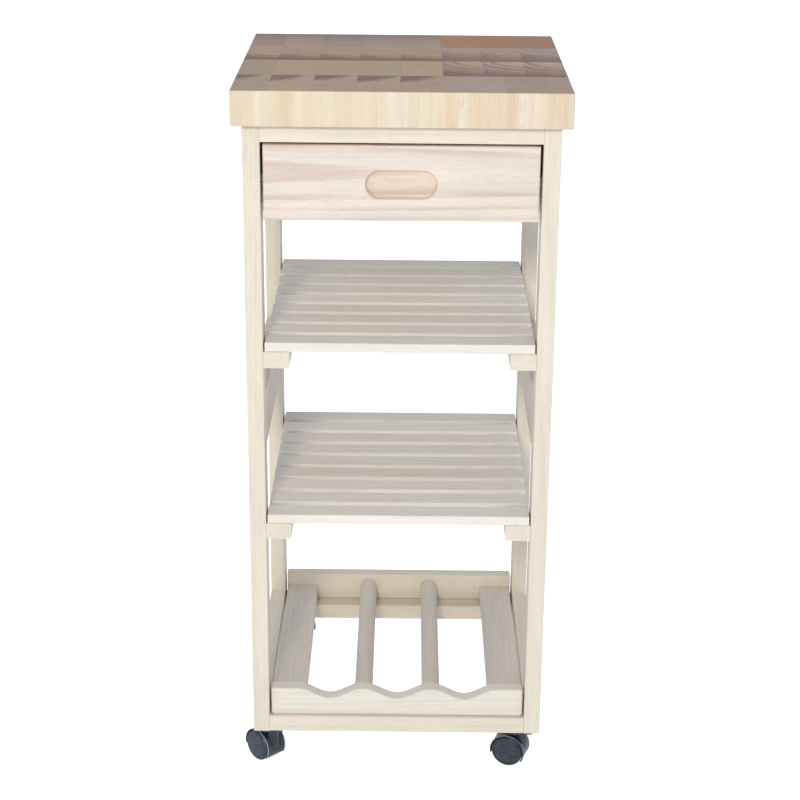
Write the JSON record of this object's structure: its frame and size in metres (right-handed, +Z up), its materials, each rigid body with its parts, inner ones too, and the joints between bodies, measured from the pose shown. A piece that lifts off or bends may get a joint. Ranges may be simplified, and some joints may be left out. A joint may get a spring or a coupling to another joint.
{
  "type": "butcher block kitchen trolley",
  "caption": "Small wooden kitchen trolley: butcher-block worktop on a square leg frame, with a drawer, slatted shelves, a bottle rack and swivelling twin-wheel casters.",
  "frame": {"origin": "on the floor, under the centre of the worktop", "axes": "+Z up, -Y towards the drawer front, +X to the right as seen from the front"},
  "size_m": [0.4094, 0.4064, 0.9144],
  "materials": {
    "butcher_block": "oiled end grain",
    "frame_wood": "clear satin lacquer on pale solid wood",
    "shelf_wood": "clear satin lacquer on pale solid wood",
    "drawer_wood": "clear satin lacquer on pale solid wood",
    "caster_plastic": "charcoal moulded plastic",
    "steel": "zinc-plated"
  },
  "bodies": {
    "frame": {"butcher_block": "butcher_block", "leg_front_left": "frame_wood", "leg_front_right": "frame_wood", "leg_rear_left": "frame_wood", "leg_rear_right": "frame_wood", "top_front_rail": "frame_wood", "top_rear_rail": "frame_wood", "top_side_rail_left": "frame_wood", "top_side_rail_right": "frame_wood", "middle_side_rail_left": "frame_wood", "middle_side_rail_right": "frame_wood", "bottom_side_rail_left": "frame_wood", "bottom_side_rail_right": "frame_wood", "bottom_front_rail": "frame_wood", "bottom_rear_rail": "frame_wood", "block_cleat_left": "frame_wood", "block_cleat_right": "frame_wood", "drawer_runner_left": "frame_wood", "drawer_runner_right": "frame_wood", "upper_shelf_slats": "shelf_wood", "lower_shelf_slats": "shelf_wood", "upper_shelf_cleat_left": "shelf_wood", "upper_shelf_cleat_right": "shelf_wood", "lower_shelf_cleat_left": "shelf_wood", "lower_shelf_cleat_right": "shelf_wood", "rack_front_board": "shelf_wood", "rack_back_board": "shelf_wood", "rack_rod_left": "shelf_wood", "rack_rod_right": "shelf_wood", "rack_slat_left": "shelf_wood", "rack_slat_right": "shelf_wood", "frame_bolts": "steel", "wood_screws": "steel", "caster_screws": "steel", "plate_front_left": "steel", "plate_front_right": "steel", "plate_rear_left": "steel", "plate_rear_right": "steel"},
    "drawer": {"drawer_front": "drawer_wood", "drawer_side_left": "drawer_wood", "drawer_side_right": "drawer_wood", "drawer_back": "drawer_wood", "drawer_bottom": "drawer_wood"},
    "caster_front_left": {"hood_front_left": "caster_plastic", "axle_front_left": "steel"},
    "near_wheel_front_left": {"near_wheel_front_left": "caster_plastic"},
    "far_wheel_front_left": {"far_wheel_front_left": "caster_plastic"},
    "caster_front_right": {"hood_front_right": "caster_plastic", "axle_front_right": "steel"},
    "near_wheel_front_right": {"near_wheel_front_right": "caster_plastic"},
    "far_wheel_front_right": {"far_wheel_front_right": "caster_plastic"},
    "caster_rear_left": {"hood_rear_left": "caster_plastic", "axle_rear_left": "steel"},
    "near_wheel_rear_left": {"near_wheel_rear_left": "caster_plastic"},
    "far_wheel_rear_left": {"far_wheel_rear_left": "caster_plastic"},
    "caster_rear_right": {"hood_rear_right": "caster_plastic", "axle_rear_right": "steel"},
    "near_wheel_rear_right": {"near_wheel_rear_right": "caster_plastic"},
    "far_wheel_rear_right": {"far_wheel_rear_right": "caster_plastic"}
  },
  "joints": [
    {"name": "drawer_slide", "type": "slide", "parent": "frame", "child": "drawer", "axis": [0, -1, 0], "range_m": [0, 0.25]},
    {"name": "caster_swivel_front_left", "type": "hinge", "parent": "frame", "child": "caster_front_left", "pos_m": [-0.167, -0.1754, 0.04], "axis": [0, 0, 1], "continuous": true},
    {"name": "near_wheel_front_left_roll", "type": "hinge", "parent": "caster_front_left", "child": "near_wheel_front_left", "pos_m": [-0.17742, -0.16461, 0.021], "axis": [0.7193, 0.6947, 0], "continuous": true},
    {"name": "far_wheel_front_left_roll", "type": "hinge", "parent": "caster_front_left", "child": "far_wheel_front_left", "pos_m": [-0.17742, -0.16461, 0.021], "axis": [0.7193, 0.6947, 0], "continuous": true},
    {"name": "caster_swivel_front_right", "type": "hinge", "parent": "frame", "child": "caster_front_right", "pos_m": [0.167, -0.1754, 0.04], "axis": [0, 0, 1], "continuous": true},
    {"name": "near_wheel_front_right_roll", "type": "hinge", "parent": "caster_front_right", "child": "near_wheel_front_right", "pos_m": [0.15282, -0.17052, 0.021], "axis": [0.3256, 0.9455, 0], "continuous": true},
    {"name": "far_wheel_front_right_roll", "type": "hinge", "parent": "caster_front_right", "child": "far_wheel_front_right", "pos_m": [0.15282, -0.17052, 0.021], "axis": [0.3256, 0.9455, 0], "continuous": true},
    {"name": "caster_swivel_rear_left", "type": "hinge", "parent": "frame", "child": "caster_rear_left", "pos_m": [-0.167, 0.1754, 0.04], "axis": [0, 0, 1], "continuous": true},
    {"name": "near_wheel_rear_left_roll", "type": "hinge", "parent": "caster_rear_left", "child": "near_wheel_rear_left", "pos_m": [-0.1529, 0.17027, 0.021], "axis": [-0.342, -0.9397, 0], "continuous": true},
    {"name": "far_wheel_rear_left_roll", "type": "hinge", "parent": "caster_rear_left", "child": "far_wheel_rear_left", "pos_m": [-0.1529, 0.17027, 0.021], "axis": [-0.342, -0.9397, 0], "continuous": true},
    {"name": "caster_swivel_rear_right", "type": "hinge", "parent": "frame", "child": "caster_rear_right", "pos_m": [0.167, 0.1754, 0.04], "axis": [0, 0, 1], "continuous": true},
    {"name": "near_wheel_rear_right_roll", "type": "hinge", "parent": "caster_rear_right", "child": "near_wheel_rear_right", "pos_m": [0.17742, 0.16461, 0.021], "axis": [-0.7193, -0.6947, 0], "continuous": true},
    {"name": "far_wheel_rear_right_roll", "type": "hinge", "parent": "caster_rear_right", "child": "far_wheel_rear_right", "pos_m": [0.17742, 0.16461, 0.021], "axis": [-0.7193, -0.6947, 0], "continuous": true}
  ]
}
